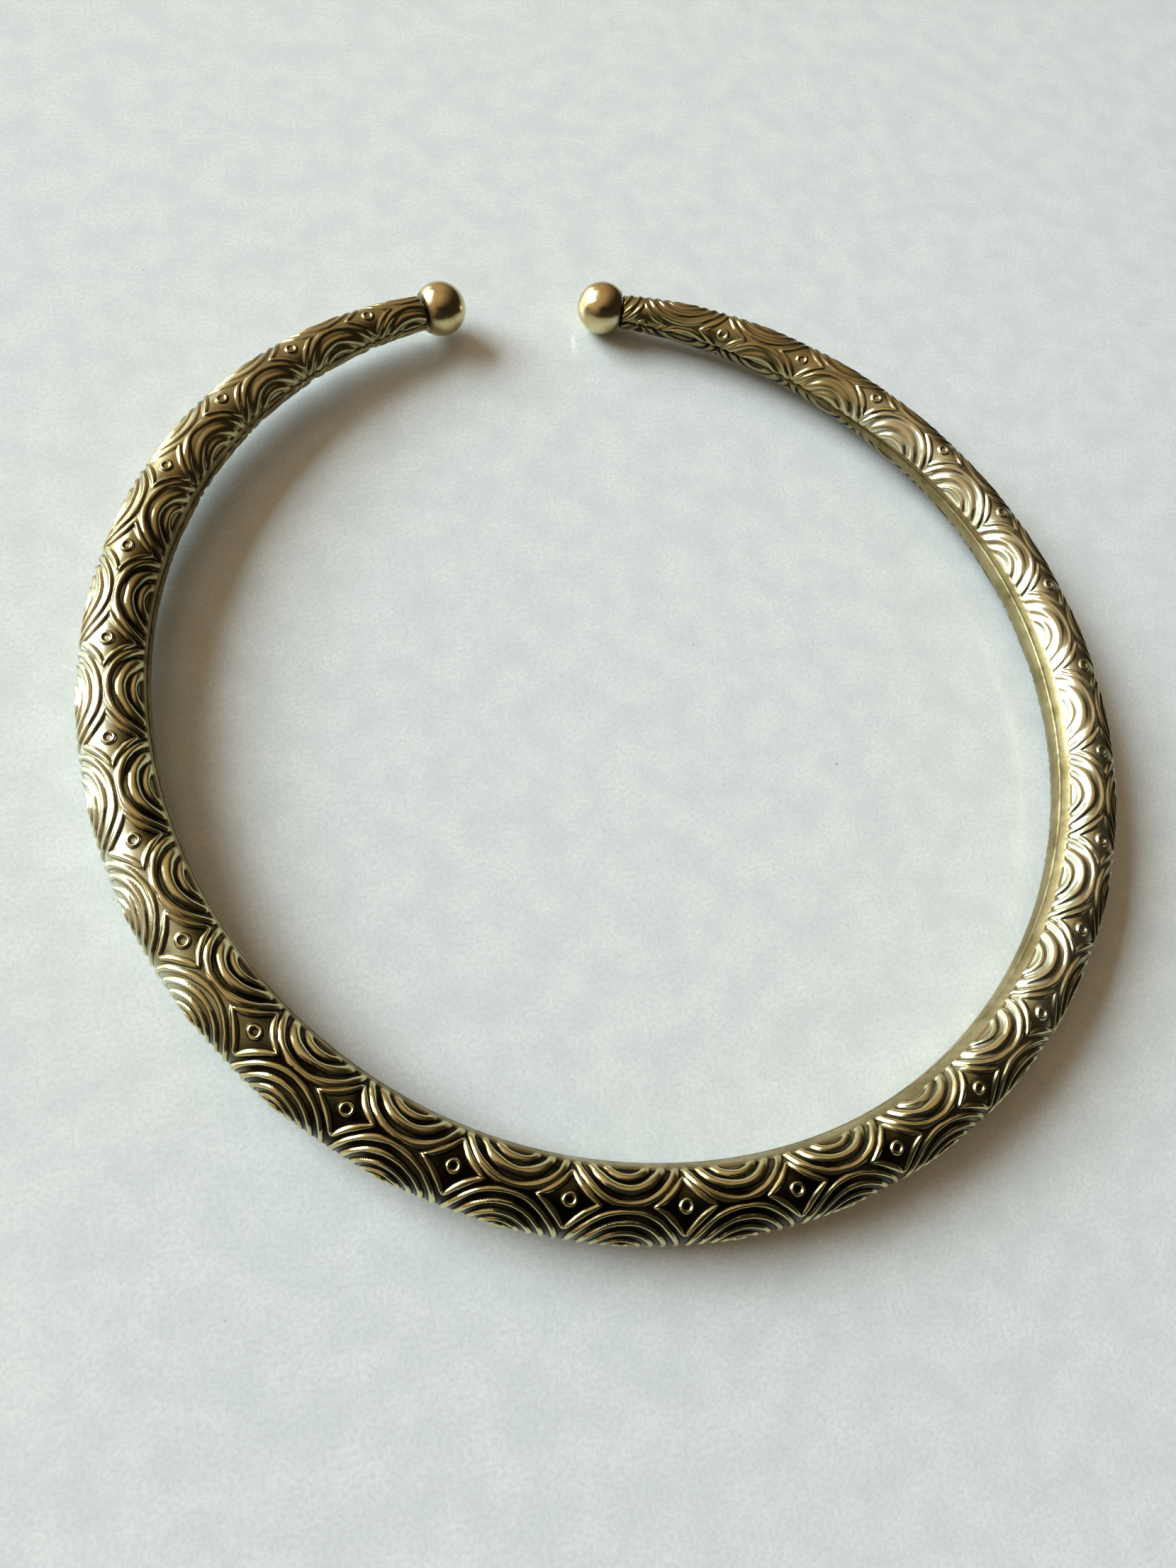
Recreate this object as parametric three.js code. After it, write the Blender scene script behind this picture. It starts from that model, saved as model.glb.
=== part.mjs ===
// An open brass choker: one hollow tube of patterned sheet, bent round the neck, full at the
// front and tapering to both ends, with a plain ball plugged into each end.
//
// Frame: millimetres, +Z up. The choker lies on the plane z = 0, its front towards -Y, its
// opening towards +Y and its right arm towards +X. "Along" is the distance on the tube's centre
// line from the middle of the front, positive towards the right arm. "Across" is the distance
// round the tube's girth from the middle row of the pattern, positive towards the top.

import * as THREE from 'three';

// ---- driving dimensions -------------------------------------------------------------------
const NECK_CENTRE = { x: -0.17, y: 0.72 }; // so that the choker's box is centred on the origin
const MEAN_RADIUS = 69.8;          // middle of the neck to the tube's centre line
const OUT_OF_ROUND = [             // how far the hand-bent ring departs from a circle
  { waves: 2, cosine: 0.79, sine: 0.94 },
  { waves: 3, cosine: -0.12, sine: -0.14 },
];
const TUBE_LENGTH = 405;           // on the centre line, end face to end face
const FRONT_RADIUS = 4.88;         // of the tube over its relief, at the front
const END_RADIUS = 2.65;           // of the tube over its relief, at each end
const TAPER_POWER = 4.4;           // the higher it is, the longer the tube stays full
const WALL = 1.25;                 // from the top of the relief to the bore
const WORN_FLAT = 0.25;            // how deep the underside is worn flat where it rests

const BALL_RADIUS = 4.1;
const BALL_SET_OFF = 3.15;         // ball's centre beyond the tube's end face
const LEFT_BALL_CLEARANCE = 0.95;  // the left arm is sprung a little clear of the table
const JOINT_GAP = 0.3;             // between a ball's seat and the tube's end face
const SPIGOT_RADIUS = 1.0;         // plug behind each ball, inside the bore
const SPIGOT_LENGTH = 3.0;

// ---- relief: rows of round bosses, with a pip in each four-cornered space between them -------
const PITCH = 14;                  // boss to boss, along and across
const FIRST_PIP = 2.96;            // along, the pip nearest to the middle of the front
const RELIEF = 0.35;               // height of the bosses over the ground
const BOSS_RADIUS = 6.3;
const BOSS_EDGE = 0.9;             // width of the slope from a boss down to the ground
const BOSS_DISH = 0.5;             // depth of the ring-shaped hollow in a boss, of the relief
const PIP_RADIUS = 1.5;
const PLAIN_FROM = 12.2;           // across: from here to the seam the sheet is plain
const PLAIN_HEIGHT = 0.6;          // of the plain margin, of the relief
const SHEET_DRIFT = [0.08, -1.6, -0.6, 3.67]; // middle row above the outer side, see drift()
const SEAM_RAISED = 0.3;           // radians the seam lies above the inner side, round the front
const SEAM_FALLS = { from: 95, to: 155 }; // along: it comes down to the inner side between these

// ---- fineness of the faceted surfaces ----------------------------------------------------------
const STEP_ALONG = PITCH / 8;
const COLUMNS = 18;                // round the tube
const BORE_STRIDE = 4;             // the bore has one station for this many outside
const LINE_DIVISIONS = 3600;       // for measuring lengths on the centre line
const BALL_SIDES = 20;
const BALL_ARC_STEPS = 5;          // from the ball's pole to its equator

// The tube's centre line seen from above, as a closed curve; the tube leaves a gap in it at +Y.
class NeckLine extends THREE.Curve {
  getPoint(t, target = new THREE.Vector3()) {
    const turn = (2 * t - 1) * Math.PI; // 0 at the front, positive towards the right arm
    let radius = MEAN_RADIUS;
    for (const { waves, cosine, sine } of OUT_OF_ROUND) {
      radius += cosine * Math.cos(waves * turn) + sine * Math.sin(waves * turn);
    }
    return target.set(NECK_CENTRE.x + radius * Math.sin(turn), NECK_CENTRE.y - radius * Math.cos(turn), 0);
  }
}

const neckLine = new NeckLine();
neckLine.arcLengthDivisions = LINE_DIVISIONS;
const lineLengths = neckLine.getLengths();
const fullLength = lineLengths[LINE_DIVISIONS];
const frontLength = lineLengths[LINE_DIVISIONS / 2];
const halfLength = TUBE_LENGTH / 2;

const smoothstep = (x) => THREE.MathUtils.smoothstep(x, 0, 1);

// Radius of the tube over its relief: constant at the front, falling away towards the ends.
function tubeRadius(along) {
  const share = Math.abs(along) / halfLength;
  return FRONT_RADIUS + (END_RADIUS - FRONT_RADIUS) * share ** TAPER_POWER;
}

// Height of the centre line. The front rests on its worn underside; each arm rises smoothly, the
// right one until its ball just rests, the left one a little more.
function centreHeight(along) {
  const endHeight = BALL_RADIUS + (along < 0 ? LEFT_BALL_CLEARANCE : 0);
  const rise = endHeight - (END_RADIUS - WORN_FLAT);
  return tubeRadius(along) - WORN_FLAT + rise * smoothstep(Math.abs(along) / halfLength);
}

// The section plane at a place on the tube: its centre, and the way out and the way along.
function sectionAt(along) {
  const share = (frontLength + along) / fullLength;
  const centre = neckLine.getPointAt(share);
  centre.z = centreHeight(along);
  const forward = neckLine.getTangentAt(share).normalize();
  const outward = new THREE.Vector3(forward.y, -forward.x, 0);
  return { centre, forward, outward };
}

// How far above the tube's outermost side the middle row of the pattern lies. The rolled sheet
// is slightly twisted, so this changes along the tube.
function drift(along) {
  const share = along / halfLength;
  return SHEET_DRIFT.reduce((sum, factor, power) => sum + factor * share ** power, 0);
}

// The seam's place round a section, as an angle from the tube's outermost side over its top.
function seamAngle(along) {
  const fallen = smoothstep((Math.abs(along) - SEAM_FALLS.from) / (SEAM_FALLS.to - SEAM_FALLS.from));
  return Math.PI - SEAM_RAISED * (1 - fallen);
}

// Distance across the pattern, from an angle round the tube that starts on the middle row. It is
// positive up to the seam and negative beyond it.
function acrossAt(along, turn) {
  const radius = tubeRadius(along);
  const seamTurn = seamAngle(along) - drift(along) / radius;
  return (turn > seamTurn ? turn - 2 * Math.PI : turn) * radius;
}

// Height of the relief above its ground. The bosses stand in a square lattice with one row on the
// middle line; the pips stand half a pitch from them both ways.
function reliefHeight(along, across) {
  if (Math.abs(across) > PLAIN_FROM) return RELIEF * PLAIN_HEIGHT;
  const latticeAlong = (along - FIRST_PIP) / PITCH;
  const latticeAcross = across / PITCH;
  const alongFromBoss = (latticeAlong - 0.5 - Math.round(latticeAlong - 0.5)) * PITCH;
  const acrossFromBoss = (latticeAcross - Math.round(latticeAcross)) * PITCH;
  const fromBoss = Math.hypot(alongFromBoss, acrossFromBoss);
  const fromPip = Math.hypot(PITCH / 2 - Math.abs(alongFromBoss), PITCH / 2 - Math.abs(acrossFromBoss));
  const hollow = fromBoss < BOSS_RADIUS ? BOSS_DISH * Math.sin(Math.PI * fromBoss / BOSS_RADIUS) ** 2 : 0;
  const boss = smoothstep((BOSS_RADIUS + BOSS_EDGE - fromBoss) / BOSS_EDGE) * (1 - hollow);
  const pip = Math.max(0, 1 - fromPip / PIP_RADIUS);
  return RELIEF * Math.max(boss, pip);
}

// One point of a section, at an angle round the tube that starts on the pattern's middle row.
function surfacePoint(section, along, turn, radius) {
  const angle = turn + drift(along) / tubeRadius(along);
  const point = section.centre.clone().addScaledVector(section.outward, radius * Math.cos(angle));
  point.z += radius * Math.sin(angle);
  return point;
}

// A closed body from two sleeves of the same number of columns: the outer one with its faces out,
// the inner one with its faces in, and a ring of faces that joins them at each end.
function sleeveBody(outerRows, innerRows) {
  const rows = [...outerRows, ...innerRows];
  const positions = rows.flat().flatMap((point) => point.toArray());
  const indices = [];
  const addBand = (rowA, rowB) => {
    for (let column = 0; column < COLUMNS; column += 1) {
      const next = (column + 1) % COLUMNS;
      const corners = [rowA, rowB].map((row) => [row * COLUMNS + column, row * COLUMNS + next]);
      const [[a, aNext], [b, bNext]] = corners;
      indices.push(a, b, bNext, a, bNext, aNext);
    }
  };
  const lastOuter = outerRows.length - 1;
  const lastRow = rows.length - 1;
  for (let row = 0; row < lastOuter; row += 1) addBand(row, row + 1);
  for (let row = lastOuter + 1; row < lastRow; row += 1) addBand(row + 1, row);
  addBand(lastOuter + 1, 0);
  addBand(lastOuter, lastRow);
  const geometry = new THREE.BufferGeometry();
  geometry.setAttribute('position', new THREE.Float32BufferAttribute(positions, 3));
  geometry.setIndex(indices);
  geometry.computeVertexNormals();
  return geometry;
}

// The tube: relief outside, a plain bore inside, open at both ends.
function collarTubeGeometry() {
  const stations = [-halfLength];
  const first = Math.ceil((STEP_ALONG / 2 - halfLength - FIRST_PIP) / STEP_ALONG);
  for (let k = first; FIRST_PIP + k * STEP_ALONG < halfLength - STEP_ALONG / 2; k += 1) {
    stations.push(FIRST_PIP + k * STEP_ALONG);
  }
  stations.push(halfLength);

  const turns = Array.from({ length: COLUMNS }, (_, column) => (column / COLUMNS) * 2 * Math.PI);
  const outerRows = stations.map((along) => {
    const section = sectionAt(along);
    const ground = tubeRadius(along) - RELIEF;
    return turns.map((turn) => {
      const height = reliefHeight(along, acrossAt(along, turn));
      const point = surfacePoint(section, along, turn, ground + height);
      if (point.z < WORN_FLAT) point.z = 0;
      return point;
    });
  });
  const boreStations = stations.slice(0, -2).filter((_, index) => index % BORE_STRIDE === 0);
  boreStations.push(halfLength);
  const innerRows = boreStations.map((along) => {
    const section = sectionAt(along);
    return turns.map((turn) => surfacePoint(section, along, turn, tubeRadius(along) - WALL));
  });
  return sleeveBody(outerRows, innerRows);
}

// A ball with a flat seat and a spigot behind it, turned about its own Y axis, ball's centre at
// the origin and spigot towards -Y.
function endBallGeometry() {
  const seat = JOINT_GAP - BALL_SET_OFF;
  const seatAngle = Math.acos(seat / BALL_RADIUS);
  const profile = [
    new THREE.Vector2(0, seat - JOINT_GAP - SPIGOT_LENGTH),
    new THREE.Vector2(SPIGOT_RADIUS, seat - JOINT_GAP - SPIGOT_LENGTH),
    new THREE.Vector2(SPIGOT_RADIUS, seat),
  ];
  const lowerSteps = BALL_ARC_STEPS - 1;
  for (let k = 0; k <= lowerSteps; k += 1) {
    const angle = seatAngle + (Math.PI / 2 - seatAngle) * (k / lowerSteps);
    profile.push(new THREE.Vector2(BALL_RADIUS * Math.sin(angle), BALL_RADIUS * Math.cos(angle)));
  }
  for (let k = BALL_ARC_STEPS - 1; k > 0; k -= 1) {
    const angle = (Math.PI / 2) * (k / BALL_ARC_STEPS);
    profile.push(new THREE.Vector2(BALL_RADIUS * Math.sin(angle), BALL_RADIUS * Math.cos(angle)));
  }
  profile.push(new THREE.Vector2(0, BALL_RADIUS));
  return new THREE.LatheGeometry(profile, BALL_SIDES);
}

// Places a ball beyond one end of the tube, in line with it.
function placeBall(mesh, side) {
  const along = side * halfLength;
  const { centre, forward } = sectionAt(along);
  const away = forward.clone().multiplyScalar(side);
  mesh.position.copy(centre).addScaledVector(away, BALL_SET_OFF);
  mesh.quaternion.setFromUnitVectors(new THREE.Vector3(0, 1, 0), away);
  return mesh;
}

const antiqueBrass = new THREE.MeshStandardMaterial({ color: 0x8f7c4c, roughness: 0.36, metalness: 1 });
const polishedBrass = new THREE.MeshStandardMaterial({ color: 0xc9ad78, roughness: 0.2, metalness: 1 });

const collarTube = new THREE.Mesh(collarTubeGeometry(), antiqueBrass);
collarTube.name = 'collar_tube';

const rightBall = placeBall(new THREE.Mesh(endBallGeometry(), polishedBrass), 1);
rightBall.name = 'end_ball_right';

const leftBall = placeBall(new THREE.Mesh(endBallGeometry(), polishedBrass.clone()), -1);
leftBall.name = 'end_ball_left';

const group = new THREE.Group();
group.add(collarTube, rightBall, leftBall);

export default group;
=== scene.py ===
"""Looks of the rigid open choker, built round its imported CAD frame.

The collar is a tube rolled from a patterned brass sheet. Here its outer skin is worked out as one
fine surface, cut into lengths that meet edge to edge, and each end ball is a turned surface.

Sizes are in millimetres until a mesh is written, which is in metres, and angles are in radians.
"Along" is the distance on the tube's centre line from the middle of the front, positive towards the
right arm. "Across" is the distance round the tube's girth from the middle row of the pattern,
positive over the top. A section angle starts at the tube's outermost side and goes over its top.
"""

import logging
import math
from dataclasses import dataclass
from enum import Enum, IntEnum
from functools import reduce
from typing import Any

import bpy
import numpy as np
from mathutils import Matrix


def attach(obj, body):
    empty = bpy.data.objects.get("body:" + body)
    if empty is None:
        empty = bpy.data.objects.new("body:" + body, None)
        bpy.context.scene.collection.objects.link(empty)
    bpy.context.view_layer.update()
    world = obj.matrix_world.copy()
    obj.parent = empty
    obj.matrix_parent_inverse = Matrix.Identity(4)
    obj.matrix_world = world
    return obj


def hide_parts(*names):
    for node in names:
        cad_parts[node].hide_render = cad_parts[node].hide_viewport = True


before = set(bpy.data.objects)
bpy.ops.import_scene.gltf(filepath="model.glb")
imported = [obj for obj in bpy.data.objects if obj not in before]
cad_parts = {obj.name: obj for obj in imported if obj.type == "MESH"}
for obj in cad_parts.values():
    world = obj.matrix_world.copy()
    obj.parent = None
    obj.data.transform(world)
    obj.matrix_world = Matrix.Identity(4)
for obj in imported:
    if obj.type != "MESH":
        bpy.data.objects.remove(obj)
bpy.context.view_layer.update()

LOG = logging.getLogger("choker")
METRES = 0.001  # metres in a millimetre
NO_RIDGE = -9.0  # swell where no ridge is near
Array = np.ndarray
Tree = bpy.types.NodeTree
Material = bpy.types.Material
Piece = bpy.types.Object
Range = tuple[float, float]
Plateau = tuple[float, float, float, float]
Change = tuple[float, float, float]


class Side(Enum):
    """The two arms, by the sign of the distance along the tube."""

    LEFT = -1
    RIGHT = 1


class Metal(Enum):
    """The record's material slots, by their names there."""

    ANTIQUE = "antique_brass"
    POLISHED = "polished_brass"


class Seed(IntEnum):
    """Seeds of the skin's irregularities."""

    WANDER_ALONG = 11
    TREMBLE_ALONG = 12
    WANDER_ACROSS = 13
    TREMBLE_ACROSS = 14
    RIDGE_WIDTH = 15
    RIDGE_HEIGHT = 16
    CLEANNESS = 21
    STAIN = 31


# ---- Formulas shared by the pieces ----


def smoothstep(low: float, high: float, value: Array) -> Array:
    """A smooth rise from 0 at low to 1 at high: 3 t^2 - 2 t^3. High may be below low."""
    t = np.clip((value - low) / (high - low), 0, 1)
    return t * t * (3 - 2 * t)


def plateau(bounds: Plateau, value: Array) -> Array:
    """1 between the middle two of four bounds, running out to 0 at the outer two."""
    start, full, falling, end = bounds
    return smoothstep(start, full, value) * (1 - smoothstep(falling, end, value))


def change(step: Change, value: Array) -> Array:
    """A change by a step's amount, which comes in from its second number to its third."""
    amount, start, end = step
    return amount * smoothstep(start, end, value)


def bell(distance: Array, reach: float) -> Array:
    """A smooth spot or groove: 1 in its middle, running out to 0 past its reach."""
    return np.exp(-((distance / reach) ** 2))


def ridge(distance: Array, half_width: Array | float) -> Array:
    """Swell of a rounded ridge: 1 on its crest, 0 at its foot and below 0 past it."""
    return 1 - (distance / half_width) ** 2


def ripple(along: Array, across: Array, wavelength: float, seed: Seed, count: int = 14) -> Array:
    """Irregularity of a hand-made surface: a sum of plane waves in random directions.

    Args:
        along: the first coordinate of each place.
        across: the second coordinate of each place.
        wavelength: about the waves' mean length.
        seed: of the random directions, lengths and phases.
        count: how many waves.

    Returns:
        The sum at each place, with a mean square of about 1.
    """
    shortest, spread = 0.65, 0.9
    draw = np.random.default_rng(int(seed))
    total = np.zeros(np.broadcast(along, across).shape)
    for heading, stretch, phase in draw.random((count, 3)):
        number = 2 * math.pi / (wavelength * (shortest + spread * stretch))
        turn = math.pi * heading
        way = along * math.cos(turn) + across * math.sin(turn)
        total += np.sin(number * way + 2 * math.pi * phase)
    return total * math.sqrt(2 / count)


def grid_faces(rows: int, columns: int) -> Array:
    """Quads of a grid of points whose last column joins its first.

    Args:
        rows: how many rows of points.
        columns: how many points in a row.

    Returns:
        Four point numbers for each quad.
    """
    point = np.arange(rows * columns).reshape(rows, columns)
    ahead = np.roll(point, -1, axis=1)
    return np.stack([point[:-1], ahead[:-1], ahead[1:], point[1:]], axis=-1).reshape(-1, 4)


def end_faces(rows: int, columns: int) -> Array:
    """Triangles that close a grid's first and last rows, each round a point in its middle.

    Args:
        rows: how many rows of points, which the two middle points follow.
        columns: how many points in a row.

    Returns:
        Three point numbers for each triangle.
    """
    first = np.arange(columns)
    last = first + (rows - 1) * columns
    hub = np.full(columns, rows * columns)
    back = np.stack([hub, np.roll(first, -1), first], axis=-1)
    front = np.stack([hub + 1, last, np.roll(last, -1)], axis=-1)
    return np.concatenate([back, front])


def make_piece(
    name: str, points: Array, quads: Array, triangles: Array, normals: Array | None = None
) -> Piece:
    """A mesh object from arrays, smooth shaded, its place in its mesh.

    Args:
        name: of the piece.
        points: the places of its points, in millimetres.
        quads: four point numbers for each quad.
        triangles: three point numbers for each triangle.
        normals: at the points, for edges that meet another piece.

    Returns:
        The object, linked to the scene.
    """
    mesh = bpy.data.meshes.new(name)
    corners = np.concatenate([quads.ravel(), triangles.ravel()]).astype(np.int32)
    sizes = np.repeat([4, 3], [len(quads), len(triangles)])
    starts = (np.cumsum(sizes) - sizes).astype(np.int32)
    mesh.vertices.add(len(points))
    mesh.vertices.foreach_set("co", (points * METRES).astype(np.float32).ravel())
    mesh.loops.add(len(corners))
    mesh.loops.foreach_set("vertex_index", corners)
    mesh.polygons.add(len(sizes))
    mesh.polygons.foreach_set("loop_start", starts)
    mesh.polygons.foreach_set("use_smooth", np.ones(len(sizes), bool))
    mesh.update(calc_edges=True)
    mesh.validate()
    if normals is not None:
        mesh.normals_split_custom_set_from_vertices(normals.astype(np.float32))
    piece = bpy.data.objects.new(name, mesh)
    bpy.context.scene.collection.objects.link(piece)
    return piece


def set_attribute(piece: Piece, name: str, values: Array) -> None:
    """Gives a piece one number at each of its points, for its material."""
    layer = piece.data.attributes.new(name, "FLOAT", "POINT")
    layer.data.foreach_set("value", values.astype(np.float32).ravel())


def set_map(piece: Piece, name: str, places: Array) -> None:
    """Gives a piece a UV map with the same place at every corner of a point.

    Args:
        piece: the mesh object.
        name: of the map.
        places: the two coordinates of each point.
    """
    corners = np.empty(len(piece.data.loops), np.int32)
    piece.data.loops.foreach_get("vertex_index", corners)
    layer = piece.data.uv_layers.new(name=name)
    layer.data.foreach_set("uv", places[corners].astype(np.float32).ravel())


# ---- The tube's form ----


@dataclass(frozen=True)
class NeckLine:
    """The tube's centre line seen from above: a hand-bent ring, a little out of round.

    Its radius at a turn b from the front is mean_radius + sum of cosine cos(n b) + sine sin(n b).
    """

    centre: tuple[float, float] = (-0.17, 0.72)
    mean_radius: float = 69.8
    out_of_round: tuple[tuple[int, float, float], ...] = ((2, 0.79, 0.94), (3, -0.12, -0.14))
    steps: int = 36000
    nudge: float = 1e-4

    def place(self, turn: Array) -> Array:
        """The line's points.

        Args:
            turn: turns from the front, positive towards the right arm.

        Returns:
            The points, seen from above.
        """
        radius = np.full(np.shape(turn), self.mean_radius)
        for waves, cosine, sine in self.out_of_round:
            radius = radius + cosine * np.cos(waves * turn) + sine * np.sin(waves * turn)
        x = self.centre[0] + radius * np.sin(turn)
        y = self.centre[1] - radius * np.cos(turn)
        return np.stack([x, y], axis=-1)

    def follow(self, along: Array) -> tuple[Array, Array]:
        """Places and directions at distances on the line.

        Args:
            along: distances from the middle of the front.

        Returns:
            The points of the line, and the unit vectors along it.
        """
        turns = np.linspace(-math.pi, math.pi, self.steps + 1)
        lengths = np.linalg.norm(np.diff(self.place(turns), axis=0), axis=1)
        reached = np.concatenate([[0], np.cumsum(lengths)])
        reached -= reached[self.steps // 2]
        turn = np.interp(along, reached, turns)
        forward = self.place(turn + self.nudge) - self.place(turn - self.nudge)
        return self.place(turn), forward / np.linalg.norm(forward, axis=-1, keepdims=True)


@dataclass(frozen=True)
class Tube:
    """The bent, tapering tube: its radius, height and seam at every place along it.

    Radius: front + (end - front) |u|^power, u being the share of the half length.
    """

    line: NeckLine = NeckLine()
    length: float = 405.0
    front_radius: float = 4.88
    end_radius: float = 2.65
    taper_power: float = 4.4
    worn_flat: float = 0.25
    ball_radius: float = 4.1
    left_clearance: float = 0.95
    sheet_drift: tuple[float, ...] = (0.08, -1.6, -0.6, 3.67)
    seam_front: float = 0.17
    seam_climb: Change = (0.13, 20.0, 60.0)
    seam_fall: Change = (0.8, 110.0, 165.0)
    drawn_in: float = 0.12
    drawn_angles: Plateau = (1.65, 2.45, 4.0, 4.6)
    drawn_places: Plateau = (-20.0, 25.0, 130.0, 165.0)

    def share(self, along: Array) -> Array:
        """Distance along, as a share of the half length."""
        return along / (self.length / 2)

    def radius(self, along: Array) -> Array:
        """Radius over the relief."""
        swell = np.abs(self.share(along)) ** self.taper_power
        return self.front_radius + (self.end_radius - self.front_radius) * swell

    def centre_height(self, along: Array) -> Array:
        """Height of the centre line: the worn underside rests, and both arms rise smoothly.

        Args:
            along: distances along.

        Returns:
            The heights.
        """
        end_height = self.ball_radius + np.where(along < 0, self.left_clearance, 0.0)
        rise = end_height - (self.end_radius - self.worn_flat)
        return self.radius(along) - self.worn_flat + rise * smoothstep(0, 1, np.abs(self.share(along)))

    def drift(self, along: Array) -> Array:
        """How far above the outermost side the pattern's middle row lies, as a cubic of the share."""
        return np.polynomial.polynomial.polyval(self.share(along), self.sheet_drift)

    def seam_angle(self, along: Array) -> Array:
        """The seam's section angle: over the inner side, most at the sides and least on the arms."""
        raised = self.seam_front + change(self.seam_climb, np.abs(along))
        return math.pi - raised * (1 - change(self.seam_fall, np.abs(along)))

    def seam_across(self, along: Array) -> Array:
        """The seam's distance across, from the side that the top of the tube leads to."""
        return self.seam_angle(along) * self.radius(along) - self.drift(along)

    def girth(self, along: Array) -> Array:
        """The way once round the tube."""
        return 2 * math.pi * self.radius(along)

    def narrowing(self, along: Array, across: Array) -> Array:
        """How far the right half's inner side is drawn in, which makes the section egg-shaped.

        Args:
            along: distances along.
            across: distances across.

        Returns:
            The depth under the round section.
        """
        radius = self.radius(along)
        angle = np.mod((across + self.drift(along)) / radius, 2 * math.pi)
        inner = plateau(self.drawn_angles, angle)
        return self.drawn_in * radius * inner * plateau(self.drawn_places, along)

    def surface(self, along: Array, across: Array, depth: Array | float) -> Array:
        """Points of the skin: centre + (radius - depth) (outward cos a + up sin a).

        The section angle a is (across + drift) / radius, and nothing goes below the table.

        Args:
            along: distances along.
            across: distances across.
            depth: how far each point lies under the tube's radius.

        Returns:
            The points.
        """
        centre, forward = self.line.follow(along)
        radius = self.radius(along)
        angle = (across + self.drift(along)) / radius
        reach = radius - depth
        x = centre[..., 0] + forward[..., 1] * reach * np.cos(angle)
        y = centre[..., 1] - forward[..., 0] * reach * np.cos(angle)
        z = self.centre_height(along) + reach * np.sin(angle)
        return np.stack([x, y, np.maximum(z, 0)], axis=-1)


# ---- The pattern rolled into the sheet ----


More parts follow.
